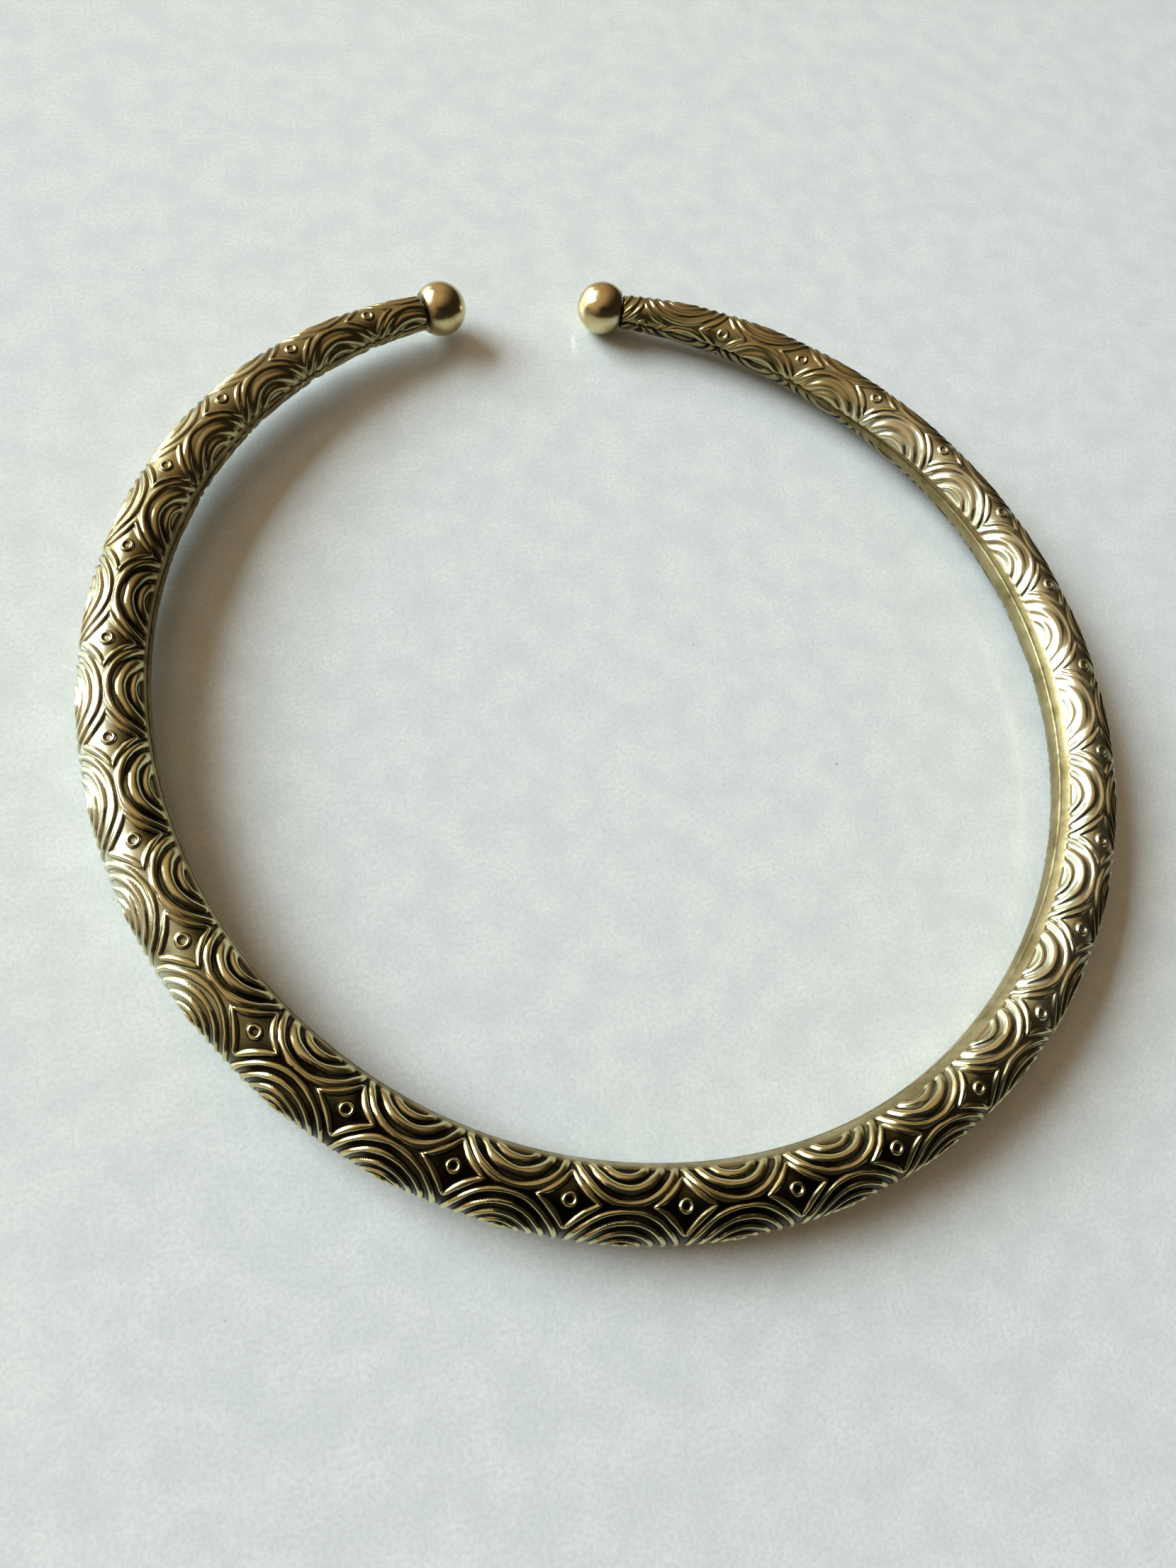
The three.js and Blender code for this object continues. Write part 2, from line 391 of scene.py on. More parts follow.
@dataclass(frozen=True)
class RolledPattern:
    """Rows of circles of round ridges, with a lozenge in each four-cornered space between them.

    A lozenge is four crescents, each an arc about one of the circles round it, and a small ring.
    Side rings are given by radius and half width, wander and tremble by size and wavelength.
    """

    pitch: float = 14.0
    first_lozenge: float = 2.96
    relief: float = 0.35
    middle_rings: tuple[float, ...] = (0.7, 2.05, 3.45, 4.9, 6.35)
    middle_half_width: float = 0.41
    side_row: float = 13.85
    side_rings: tuple[Range, ...] = ((6.55, 0.55), (4.75, 0.74), (3.0, 0.64))
    crescent_radius: float = 7.55
    crescent_half_span: float = 0.43
    crescent_half_width: float = 0.5
    crescent_thinning: float = 0.6
    crescent_ends: float = 2.2
    thinnest: float = 0.02
    bead_radius: float = 0.7
    bead_half_width: float = 0.32
    shoulder: float = 1.15
    plain_from: float = 12.2
    plain_edge: Range = (-0.12, 0.2)
    plain_height: float = 0.72
    run_out: Range = (0.1, 0.8)
    run_out_height: float = 0.9
    wander: Range = (0.055, 9.0)
    tremble: Range = (0.012, 1.7)
    unevenness: float = 0.09
    width_wave: float = 4.0
    height_wave: float = 5.0

    def nearest(self, along: Array, across: Array) -> tuple[Array, Array, Array]:
        """The nearest circle of the pattern.

        Args:
            along: distances along.
            across: distances across.

        Returns:
            The distances from its centre, along and across, and whether its row is the middle one.
        """
        middle = np.abs(across) < self.pitch / 2
        step = (along - self.first_lozenge) / self.pitch - 0.5
        from_along = (step - np.round(step)) * self.pitch
        from_across = np.where(middle, np.abs(across), self.side_row - np.abs(across))
        return from_along, from_across, middle

    def shift(self, along: Array, across: Array, wander: Seed, tremble: Seed) -> Array:
        """How far the pattern strays from its lattice: a slow wander and a fine tremble."""
        (far, wave), (near, fine) = self.wander, self.tremble
        return far * ripple(along, across, wave, wander) + near * ripple(along, across, fine, tremble)

    def swell(self, along: Array, across: Array) -> Array:
        """How far inside a ridge each place lies: 1 on its crest, 0 at its foot, below 0 past it.

        Args:
            along: distances along.
            across: distances across.

        Returns:
            The highest value of 1 - (distance / half width)^2 over the ridges.
        """
        s = along + self.shift(along, across, Seed.WANDER_ALONG, Seed.TREMBLE_ALONG)
        v = across + self.shift(along, across, Seed.WANDER_ACROSS, Seed.TREMBLE_ACROSS)
        from_along, from_across, middle = self.nearest(s, v)
        from_centre = np.hypot(from_along, from_across)
        width = 1 + self.unevenness * ripple(along, across, self.width_wave, Seed.RIDGE_WIDTH)

        middle_rings = [(ring, self.middle_half_width) for ring in self.middle_rings]
        sets = []
        for rings, in_row in ((middle_rings, middle), (self.side_rings, ~middle)):
            crests = [ridge(from_centre - ring, half_width * width) for ring, half_width in rings]
            sets.append(np.where(in_row, np.maximum.reduce(crests), NO_RIDGE))

        lean = np.arctan2(from_across, np.abs(from_along)) - math.pi / 4
        taper = np.clip(1 - (lean / self.crescent_half_span) ** 2, self.thinnest, 1)
        half_width = self.crescent_half_width * taper**self.crescent_thinning
        crescents = ridge(from_centre - self.crescent_radius, half_width)
        crescents = crescents - 1 + np.clip(taper * self.crescent_ends, 0, 1)
        crescents = np.where(taper > self.thinnest, crescents, NO_RIDGE)

        to_bead = np.hypot(self.pitch / 2 - np.abs(from_along), np.abs(v) - self.pitch / 2)
        bead = ridge(to_bead - self.bead_radius, self.bead_half_width)
        return np.maximum.reduce([*sets, crescents, bead])

    def height(self, along: Array, across: Array, swell: Array) -> Array:
        """Height of the relief over its ground, as a share of the full relief.

        Args:
            along: distances along.
            across: distances across.
            swell: how far inside a ridge each place lies.

        Returns:
            0 on the ground, 1 on the highest ridges.
        """
        uneven = 1 + ripple(along, across, self.height_wave, Seed.RIDGE_HEIGHT)
        pattern = np.clip(swell, 0, 1) ** self.shoulder * (1 - 0.5 * self.unevenness * uneven)
        plain = self.plain(across)
        left_over = 1 - smoothstep(*self.run_out, np.abs(across) - self.plain_from)
        over_plain = np.maximum(self.plain_height, self.run_out_height * pattern * left_over)
        return pattern * (1 - plain) + over_plain * plain

    def plain(self, across: Array) -> Array:
        """1 on the plain margin beside the seam, 0 on the pattern."""
        return smoothstep(*self.plain_edge, np.abs(across) - self.plain_from)


# ---- Nodes and finishes ----


def linear(hex_colour: str) -> tuple[float, float, float, float]:
    """An sRGB hex colour as the linear RGBA that nodes and lights take."""
    parts = (int(hex_colour[i : i + 2], 16) / 255 for i in (1, 3, 5))
    return *(c / 12.92 if c <= 0.04045 else ((c + 0.055) / 1.055) ** 2.4 for c in parts), 1.0


def add_node(
    tree: Tree, kind: str, inputs: dict[Any, Any] | None = None, **settings: Any
) -> bpy.types.Node:
    """Adds a node with its settings, values and links.

    Args:
        tree: the node tree.
        kind: its type name after the word ShaderNode.
        inputs: by name or number, a value or another node's output.
        settings: its properties.

    Returns:
        The new node.
    """
    node = tree.nodes.new(f"ShaderNode{kind}")
    for name, value in settings.items():
        setattr(node, name, value)
    for key, value in (inputs or {}).items():
        socket = node.inputs[key]
        if isinstance(value, bpy.types.NodeSocket):
            tree.links.new(value, socket)
        else:
            socket.default_value = value
    return node


def new_material(name: str) -> tuple[Material, Tree, Any]:
    """An empty node material.

    Args:
        name: of the material.

    Returns:
        The material, its tree, and the socket of coordinates on the object.
    """
    material = bpy.data.materials.new(name)
    material.use_nodes = True
    tree = material.node_tree
    tree.nodes.clear()
    return material, tree, add_node(tree, "TexCoord").outputs["Object"]


def remap(tree: Tree, value: Any, source: Range, to: Range = (0, 1)) -> Any:
    """A value carried smoothly from one range onto another."""
    inputs = dict(enumerate((value, *source, *to)))
    return add_node(tree, "MapRange", inputs, interpolation_type="SMOOTHSTEP").outputs[0]


def combine(tree: Tree, kind: str, *values: Any) -> Any:
    """The result of a maths operation carried through values or sockets in order."""
    return reduce(lambda a, b: add_node(tree, "Math", {0: a, 1: b}, operation=kind).outputs[0], values)


def times(tree: Tree, *values: Any) -> Any:
    """The product of values or sockets."""
    return combine(tree, "MULTIPLY", *values)


def blend(tree: Tree, share: Any, *ends: Any) -> Any:
    """A colour between two, each a hex string or a socket."""
    one, other = (linear(end) if isinstance(end, str) else end for end in ends)
    return add_node(tree, "Mix", {0: share, 6: one, 7: other}, data_type="RGBA").outputs[2]


def grain(tree: Tree, place: Any, size_mm: float, detail: float = 3.0) -> Any:
    """Noise with lumps of a given size on coordinates in metres."""
    inputs = {"Vector": place, "Scale": 1 / (size_mm * METRES), "Detail": detail, "Roughness": 0.55}
    return add_node(tree, "TexNoise", inputs).outputs[0]


def bumped(tree: Tree, height: Any, strength: float, depth_mm: float) -> Any:
    """The normal of a surface with a fine relief of a given depth."""
    inputs = {"Strength": strength, "Distance": depth_mm * METRES, "Height": height}
    return add_node(tree, "Bump", inputs).outputs[0]


def surface_of(tree: Tree, colour: Any, roughness: Any, **more: Any) -> None:
    """Ends a material's tree with its shader, which takes more inputs by name, and its output."""
    shader = add_node(tree, "BsdfPrincipled", {"Base Color": colour, "Roughness": roughness, **more})
    add_node(tree, "OutputMaterial", {"Surface": shader.outputs[0]})


@dataclass(frozen=True)
class AntiqueBrass:
    """Antiqued rolled brass: paler where it is worn and where a painted reflection of the window lies,
    more golden where few hands reach and where painted shade lies.

    Tarnish dims the ground between the ridges, and dirt stays in a dark line where they meet it.
    """

    brass: str = "#dcd4a0"
    warm_brass: str = "#cdc08b"
    # Paler brass for worn ground, also used as a painted reflection of the window on the left side's
    # outer half and the right side's inner half.
    pale_brass_and_reflection: str = "#dfdebe"
    # More golden brass for little-rubbed crests, also used as painted shade on the arms and the right
    # side's outer half.
    golden_brass_and_shade: str = "#b9ac7c"
    tarnish: str = "#262014"
    tarnish_brown: str = "#23190d"
    dirt: str = "#0b0804"
    margin: str = "#b9ac82"
    margin_stain: str = "#92855d"
    margin_dark: str = "#6e5c2e"
    crest_roughness: float = 0.19
    ground_roughness: float = 0.28
    margin_roughness: float = 0.34
    dirt_roughness: float = 0.25
    mottle_mm: float = 5.0
    wear_mm: float = 0.8
    brush_mm: float = 0.09
    brush_stretch: float = 0.04
    grit_mm: float = 0.3
    bump_strength: float = 0.3
    bump_mm: float = 0.01
    rubbed_unevenness: float = 0.4
    rubbed: Range = (0.2, 0.66)
    broad_dirt: tuple[Range, Range] = ((-1.0, -0.15), (0.36, -0.08))
    thin_dirt: tuple[Range, Range] = ((-0.5, -0.12), (0.26, -0.02))
    # The ground's paleness from wear and painted reflection thins its dirt lines and pales it; the
    # crests' dullness from rubbing and painted shade makes them golden.
    thin_where_worn_and_lit: Range = (0.6, 0.3)
    paler_where_worn_and_lit: Range = (0.4, 0.85)
    golden_where_dull_and_shaded: Range = (0.85, 0.55)
    less_dirt_where_worn_and_lit: tuple[Range, Range] = ((0.35, 0.85), (1.0, 0.65))

    def dirt_lines(self, tree: Tree, swell: Any, clean_and_lit: Any) -> Any:
        """Dirt at the ridges' feet: a broad line, or a thin one where the ground is worn and where a
        reflection is painted in.

        Args:
            tree: the node tree.
            swell: how far inside a ridge a place lies.
            clean_and_lit: how pale its ground is, from wear and from painted reflection and shade.

        Returns:
            The share of dirt.
        """
        broad = (remap(tree, swell, span) for span in self.broad_dirt)
        thin = (remap(tree, swell, span) for span in self.thin_dirt)
        kept_broad = remap(tree, clean_and_lit, self.thin_where_worn_and_lit)
        allowed = combine(tree, "ADD", combine(tree, "MINIMUM", *thin), kept_broad)
        return combine(tree, "MINIMUM", *broad, allowed)

    def brushed_grit(self, tree: Tree, place: Any, swell: Any) -> Any:
        """The fine brush marks along the tube and the grit, both fainter on the crests.

        Args:
            tree: the node tree.
            place: coordinates on the object.
            swell: how far inside a ridge a place lies.

        Returns:
            Their height.
        """
        girth = add_node(tree, "UVMap", uv_map="girth_map").outputs[0]
        stretched = {"Vector": girth, "Scale": (self.brush_stretch, 1, 1)}
        drawn_out = add_node(tree, "Mapping", stretched).outputs[0]
        brushed = grain(tree, drawn_out, self.brush_mm, 2.0)
        marks = combine(tree, "ADD", grain(tree, place, self.grit_mm, 2.0), brushed)
        return times(tree, marks, remap(tree, swell, (0.6, 0.0), (0.15, 1.0)))

    def material(self) -> Material:
        """The node material, driven by the skin's attributes.

        Returns:
            The material.
        """
        material, tree, place = new_material("antique_brass_rolled")
        # The last two attributes hold wear and painted light together: paler ground where the window's
        # reflection is painted in, darker ground and more golden crests where shade is painted in.
        swell, seam, plain, clean_and_lit, rubbed_and_shaded = (
            add_node(tree, "Attribute", attribute_name=name).outputs["Fac"]
            for name in ("swell", "seam", "plain", "clean_and_lit", "rubbed_and_shaded")
        )
        mottle = grain(tree, place, self.mottle_mm)
        wear = grain(tree, place, self.wear_mm)

        uneven = times(tree, combine(tree, "SUBTRACT", wear, 0.5), self.rubbed_unevenness)
        raised = remap(tree, combine(tree, "ADD", swell, uneven), self.rubbed)
        # Crests are paler where rubbed and darker where painted shade lies.
        rubbed = times(tree, raised, rubbed_and_shaded)
        patterned = combine(tree, "SUBTRACT", 1.0, plain)
        at_feet = times(tree, self.dirt_lines(tree, swell, clean_and_lit), patterned)
        grime = combine(tree, "MAXIMUM", at_feet, seam)

        body = blend(tree, remap(tree, mottle, (0.4, 0.65)), self.brass, self.warm_brass)
        # Painted reflection, in part: the ground turns paler where its attribute is high, which is
        # where the window's reflection is painted in as well as where it is worn.
        worn_and_reflected = blend(tree, remap(tree, clean_and_lit, self.paler_where_worn_and_lit), body, self.pale_brass_and_reflection)
        # Painted shade, in part: the crests turn golden on the arms and the right side's outer half.
        crest = blend(tree, remap(tree, rubbed_and_shaded, self.golden_where_dull_and_shaded), worn_and_reflected, self.golden_brass_and_shade)
        tarnish = blend(tree, remap(tree, wear, (0.45, 0.65)), self.tarnish, self.tarnish_brown)
        pattern = blend(tree, rubbed, blend(tree, clean_and_lit, tarnish, crest), crest)
        stained = blend(tree, remap(tree, mottle, (0.35, 0.7)), self.margin, self.margin_stain)
        # The margin's colour follows its wear, with a painted reflection that pales it in one place on
        # the left side.
        margin = blend(tree, clean_and_lit, self.margin_dark, stained)
        metal = blend(tree, plain, pattern, margin)
        patches = remap(tree, wear, (0.25, 0.6), (0.75, 1.0))
        soiled = times(tree, grime, patches, remap(tree, clean_and_lit, *self.less_dirt_where_worn_and_lit))
        colour = blend(tree, soiled, metal, self.dirt)

        dull = remap(tree, swell, (0.05, 0.6), (self.ground_roughness, self.crest_roughness))
        satin = times(tree, plain, self.margin_roughness - self.crest_roughness)
        clouds = remap(tree, mottle, (0.3, 0.7), (-0.03, 0.05))
        dirty = times(tree, soiled, self.dirt_roughness)
        roughness = combine(tree, "ADD", dull, clouds, satin, dirty)
        normal = bumped(tree, self.brushed_grit(tree, place, swell), self.bump_strength, self.bump_mm)
        surface_of(tree, colour, roughness, Metallic=1.0, Normal=normal)
        return material


@dataclass(frozen=True)
class PolishedBrass:
    """Cast brass balls buffed by hand: a mirror with soft lumps, and dirt left in the joint."""

    body: str = "#dacd9e"
    warm: str = "#ccb688"
    dirt: str = "#2b2012"
    roughness: float = 0.2
    scuffed: float = 0.04
    dirt_roughness: float = 0.25
    lump_mm: float = 1.6
    scuff_mm: float = 0.35
    scuff_height: float = 0.012
    bump_strength: float = 0.5
    bump_mm: float = 0.12

    def material(self) -> Material:
        """The node material, darkened by the ball's joint attribute.

        Returns:
            The material.
        """
        material, tree, place = new_material("polished_brass_buffed")
        joint = add_node(tree, "Attribute", attribute_name="joint").outputs["Fac"]
        lumps = grain(tree, place, self.lump_mm, 2.0)
        scuffs = grain(tree, place, self.scuff_mm, 4.0)
        body = blend(tree, remap(tree, lumps, (0.35, 0.7)), self.body, self.warm)
        soiled = times(tree, joint, remap(tree, scuffs, (0.3, 0.6), (0.7, 1.0)))
        colour = blend(tree, soiled, body, self.dirt)
        rough = remap(tree, scuffs, (0.35, 0.75), (self.roughness, self.roughness + self.scuffed))
        dirty = times(tree, joint, self.dirt_roughness)
        uneven = combine(tree, "ADD", lumps, times(tree, scuffs, self.scuff_height))
        normal = bumped(tree, uneven, self.bump_strength, self.bump_mm)
        surface_of(tree, colour, combine(tree, "ADD", rough, dirty), Metallic=1.0, Normal=normal)
        return material


@dataclass(frozen=True)
class PaleStone:
    """A polished pale stone table top: cloudy at several sizes, with a few dark specks."""

    body: str = "#e6ecea"
    cloud: str = "#dae1e0"
    fleck: str = "#eff3f0"
    grain: str = "#cad0ce"
    speck: str = "#8f9088"
    roughness: float = 0.21
    cloud_mm: float = 6.0
    fleck_mm: float = 2.2
    fleck_share: float = 0.8
    grain_mm: float = 0.55
    grain_share: float = 0.6
    speck_mm: float = 7.0
    speck_edge: Range = (0.035, 0.015)
    speck_share: float = 0.8

    def material(self) -> Material:
        """The node material of the table top.

        Returns:
            The material.
        """
        material, tree, place = new_material("pale_stone_polished")
        clouds = grain(tree, place, self.cloud_mm, 9.0)
        flecks = grain(tree, place, self.fleck_mm, 2.0)
        fine = grain(tree, place, self.grain_mm, 3.0)
        inputs = {"Vector": place, "Scale": 1 / (self.speck_mm * METRES)}
        specks = add_node(tree, "TexVoronoi", inputs).outputs["Distance"]
        clouded = blend(tree, remap(tree, clouds, (0.3, 0.7)), self.body, self.cloud)
        paler = times(tree, remap(tree, flecks, (0.66, 0.8)), self.fleck_share)
        flecked = blend(tree, paler, clouded, self.fleck)
        grainy = remap(tree, fine, (0.3, 0.75), (0.0, self.grain_share))
        grained = blend(tree, grainy, flecked, self.grain)
        dots = remap(tree, specks, self.speck_edge), remap(tree, clouds, (0.5, 0.6))
        dark = times(tree, *dots, self.speck_share)
        surface_of(tree, blend(tree, dark, grained, self.speck), self.roughness)
        return material


# ---- Pieces ----


@dataclass(frozen=True)
class WearAndLight:
    """Where handling has lowered the relief, cleaned the ground and rubbed the crests, and where light
    and shade are painted in: paler ground for the window's reflection, darker ground and crests for
    shade.

    Each change is an amount and the two places between which it comes in, in millimetres along or,
    where its name says so, across. On the left the places run outwards too, from high to low.
    """

    lowered_right: Change = (0.35, 60.0, 105.0)
    lowered_inner_across: Change = (0.2, 7.5, 9.0)
    lowered_inner: Plateau = (76.0, 90.0, 110.0, 122.0)
    lowered_left: Change = (0.3, -135.0, -165.0)

    # Ground paleness: wear together with painted reflections of the window on the left side's outer
    # half and the right side's inner half, and painted shade on the left side's inner half.
    clean_and_lit_right: Change = (0.9, 0.0, 65.0)
    tarnished_right_arm: Change = (0.25, 150.0, 185.0)
    inner_across: Change = (0.9, 1.0, 7.0)
    inner_shift: Change = (6.0, 130.0, 165.0)
    clean_and_lit_left: Change = (0.75, -55.0, -92.0)
    shaded_across: Change = (0.8, 7.0, 9.0)
    unshaded: Change = (1.0, -130.0, -155.0)
    clean_by_margin_across: Change = (0.3, 9.2, 11.4)
    clean_by_margin: Change = (1.0, -25.0, 10.0)
    cloud: Range = (0.08, 9.0)

    margin_tarnish: tuple[Change, ...] = ((0.6, 120.0, 165.0), (0.5, -15.0, -55.0), (0.3, 30.0, 60.0))
    # A painted reflection: the margin made paler in one place on the left side.
    margin_painted_reflection: Change = (0.45, -92.0, 20.0)

    # Crest paleness: rubbing together with painted shade on the arms and the right side's outer half.
    outer_across: Change = (1.0, 5.5, 8.0)
    outer_dull_and_shaded: Change = (1.0, 35.0, 75.0)
    right_arm_dull_and_shaded: Change = (1.0, 135.0, 172.0)
    right_dull_and_shaded: float = 0.45
    left_dull_and_shaded: Change = (0.4, -106.0, -140.0)

    def relief(self, along: Array, across: Array) -> Array:
        """The share of the relief that is left: least on the right side's inner half and the arms."""
        inner = change(self.lowered_inner_across, across) * plateau(self.lowered_inner, along)
        return 1 - change(self.lowered_right, along) - inner - change(self.lowered_left, along)

    def margin(self, along: Array) -> Array:
        """How worn the plain margin is: most at the front, and paler in one place on the left side,
        where a reflection is painted in.

        Args:
            along: distances along.

        Returns:
            1 where it is pale.
        """
        amount, middle, reach = self.margin_painted_reflection
        spot = amount * bell(along - middle, reach)
        return 1 + spot - sum(change(step, along) for step in self.margin_tarnish)

    def cleanness(self, along: Array, across: Array, plain: Array) -> Array:
        """How pale the ground is, from wear and from painted light: palest on the left side's outer
        and the right's inner half, where the window's reflection is painted in, and darker on the left
        side's inner half, where shade is painted in.

        Args:
            along: distances along.
            across: distances across.
            plain: 1 on the plain margin, 0 on the pattern.

        Returns:
            0 where it is darkest, from tarnish and painted shade, 1 where it is palest.
        """
        # The right side's inner half is paler and its outer half darker: painted reflections of the
        # window and of the shadow on the table, with wear.
        inner = change(self.inner_across, across + change(self.inner_shift, along))
        outer = 1 - self.inner_across[0]
        right = change(self.clean_and_lit_right, along) - change(self.tarnished_right_arm, along)
        # Painted shade on the left side's inner half.
        shaded = change(self.shaded_across, across) * (1 - change(self.unshaded, along))
        # The left side's outer half is paler: a painted reflection of the window, with wear.
        left = change(self.clean_and_lit_left, along) * (1 - shaded)
        by_margin = change(self.clean_by_margin_across, across) * change(self.clean_by_margin, along)
        ground = left + right * (outer + inner) + by_margin
        share, size = self.cloud
        clouds = share * ripple(along, across, size, Seed.CLEANNESS)
        return np.clip(ground * (1 - plain) + self.margin(along) * plain + clouds, 0, 1)

    def brightness(self, along: Array, across: Array) -> Array:
        """How pale the crests are, from rubbing and from painted shade: darker and more golden on the
        arms and the right side's outer half.

        Args:
            along: distances along.
            across: distances across.

        Returns:
            1 where they are brightest.
        """
        outer = (1 - change(self.outer_across, across)) * change(self.outer_dull_and_shaded, along)
        right = self.right_dull_and_shaded * np.maximum(outer, change(self.right_arm_dull_and_shaded, along))
        return 1 - right - change(self.left_dull_and_shaded, along)


@dataclass
class Collar:
    """The patterned skin of the tube, in lengths that meet edge to edge.

    The grid's rows are stations along, and its columns go round from the seam over the top. Both
    are closer at the lozenges' small rings, and the columns wider on the plain margin.
    """

    tube: Tube = Tube()
    pattern: RolledPattern = RolledPattern()
    wear: WearAndLight = WearAndLight()
    lengths: tuple[str, ...] = (
        "collar_left_arm", "collar_left_side", "collar_front", "collar_right_side", "collar_right_arm"
    )
    step: float = 0.185
    fine_step: float = 0.115
    margin_step: float = 0.32
    margin_eases: Range = (0.1, 0.6)
    fine_eases: Range = (0.88, 1.65)
    columns: int = 172
    seam_columns: int = 5
    seam_step: float = 0.35
    seam_depth: float = 0.22
    seam_half_width: float = 0.13
    stain_half_width: float = 0.75
    stain_patches: Range = (-0.2, 1.6)
    stain_patch_mm: float = 2.6
    stain_share: float = 0.6
    lowest_swell: float = -1.5
    lip: float = 0.3
    summed_places: tuple[int, int] = (40001, 8001)
    summed_across: float = 20.0

    def spacing(self, from_ring: Array) -> Array:
        """The distance between grid lines, by how far they are from a row of small rings."""
        return self.fine_step + (self.step - self.fine_step) * smoothstep(*self.fine_eases, from_ring)

    def stations(self) -> Array:
        """Places along for the rows: their spacing narrows near each lozenge's middle.

        The number of rows up to a place is the integral of 1 / spacing, which is then inverted.

        Returns:
            The distances along.
        """
        half = self.tube.length / 2
        fine = np.linspace(-half, half, self.summed_places[0])
        cell = (fine - self.pattern.first_lozenge) / self.pattern.pitch
        spacing = self.spacing(np.abs(cell - np.round(cell)) * self.pattern.pitch)
        count = np.concatenate([[0], np.cumsum(np.diff(fine) / spacing[1:])])
        rows = int(round(count[-1]))
        return np.interp(np.linspace(0, count[-1], rows + 1), count, fine)

    def round_the_tube(self, along: Array) -> Array:
        """Distances across for the columns of each row, from the seam over the top to the seam.

        The number of columns up to a distance is the integral of 1 / spacing, which is then inverted.
        The first few and the last few stand closer, for the seam's groove.

        Args:
            along: the rows' distances along.

        Returns:
            The distances across.
        """
        fine = np.linspace(-self.summed_across, self.summed_across, self.summed_places[1])
        margin = smoothstep(*self.margin_eases, np.abs(fine) - self.pattern.plain_from)
        spacing = self.spacing(np.abs(np.abs(fine) - self.pattern.pitch / 2))
        spacing = spacing + (self.margin_step - self.step) * margin
        count = np.concatenate([[0], np.cumsum(np.diff(fine) / spacing[1:])])
        top = self.tube.seam_across(along)
        count_top = np.interp(top, fine, count)
        count_end = np.interp(top - self.tube.girth(along), fine, count)
        steps = np.ones(self.columns)
        steps[: self.seam_columns] = steps[-self.seam_columns :] = self.seam_step
        shares = np.concatenate([[0], np.cumsum(steps)[:-1]]) / steps.sum()
        wanted = count_top[:, None] + (count_end - count_top)[:, None] * shares
        return np.interp(wanted, count, fine)

    def skin(self) -> dict[str, Array]:
        """The whole skin as grids.

        Returns:
            Points, normals, the finish's attributes and the girth map's coordinates, by name.
        """
        stations = self.stations()
        across = self.round_the_tube(stations)
        along = np.broadcast_to(stations[:, None], across.shape)
        swell = self.pattern.swell(along, across)
        height = self.pattern.height(along, across, swell)
        top = self.tube.seam_across(stations)[:, None]
        girth = self.tube.girth(stations)[:, None]
        from_seam = np.minimum(top - across, across - (top - girth))
        groove = self.seam_depth * bell(from_seam, self.seam_half_width)
        patches = ripple(along, across, self.stain_patch_mm, Seed.STAIN)
        stain = self.stain_share * bell(from_seam, self.stain_half_width)
        stain = stain * smoothstep(*self.stain_patches, patches)
        end_gap = self.tube.length / 2 - np.abs(along)
        over_lip = np.clip(1 - end_gap / self.lip, 0, 1)
        rounded = self.lip * (1 - np.sqrt(1 - over_lip**2))
        sunk = self.pattern.relief * self.wear.relief(along, across) * (1 - height)
        depth = sunk + groove + rounded + self.tube.narrowing(along, across)
        points = self.tube.surface(along, across, depth)
        plain = self.pattern.plain(across)
        return {
            "points": points,
            "normals": self.normals(points),
            "swell": np.maximum(swell, self.lowest_swell),
            "seam": np.maximum(groove / self.seam_depth, stain),
            "plain": plain,
            # These two attributes carry wear together with painted light and shade.
            "clean_and_lit": self.wear.cleanness(along, across, plain),
            "rubbed_and_shaded": self.wear.brightness(along, across),
            "girth": np.stack([along, across], axis=-1) * METRES,
        }

    def normals(self, points: Array) -> Array:
        """Unit normals of the grid: the cross product of its two slopes, which points out.

        Args:
            points: the grid.

        Returns:
            The normals.
        """
        round_slope = np.roll(points, -1, axis=1) - np.roll(points, 1, axis=1)
        normals = np.cross(round_slope, np.gradient(points, axis=0))
        return normals / np.maximum(np.linalg.norm(normals, axis=-1, keepdims=True), 1e-12)

    def build(self, finish: Material) -> list[Piece]:
        """Makes the lengths of the skin.

        Args:
            finish: the metal.

        Returns:
            The pieces.
        """
        grids = self.skin()
        rows = grids["points"].shape[0]
        cuts = np.linspace(0, rows - 1, len(self.lengths) + 1).round().astype(int)
        pieces = []
        for name, first, last in zip(self.lengths, cuts[:-1], cuts[1:]):
            part = {key: grid[first : last + 1] for key, grid in grids.items()}
            pieces.append(self.build_length(name, part, finish))
        return pieces

    def build_length(self, name: str, part: dict[str, Array], finish: Material) -> Piece:
        """One length of the skin: its sleeve, closed by a flat end at each cut.

        Args:
            name: of the piece.
            part: the skin's grids between the two cuts.
            finish: the metal.

        Returns:
            The piece.
        """
        grid = part["points"].shape[:2]
        ends = part["points"][[0, -1]].mean(axis=1)
        points = np.concatenate([part["points"].reshape(-1, 3), ends])
        away = ends - part["points"][[1, -2]].mean(axis=1)
        away /= np.linalg.norm(away, axis=-1, keepdims=True)
        normals = np.concatenate([part["normals"].reshape(-1, 3), away])
        piece = make_piece(name, points, grid_faces(*grid), end_faces(*grid), normals)
        # The wear attributes here also carry painted light and shade.
        for key in ("swell", "seam", "plain", "clean_and_lit", "rubbed_and_shaded"):
            set_attribute(piece, key, np.concatenate([part[key].ravel(), [0, 0]]))
        places = np.concatenate([part["girth"].reshape(-1, 2), part["girth"][[0, -1], 0]])
        set_map(piece, "girth_map", places)
        piece.data.materials.append(finish)
        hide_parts("collar_tube")
        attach(piece, "root")
        return piece


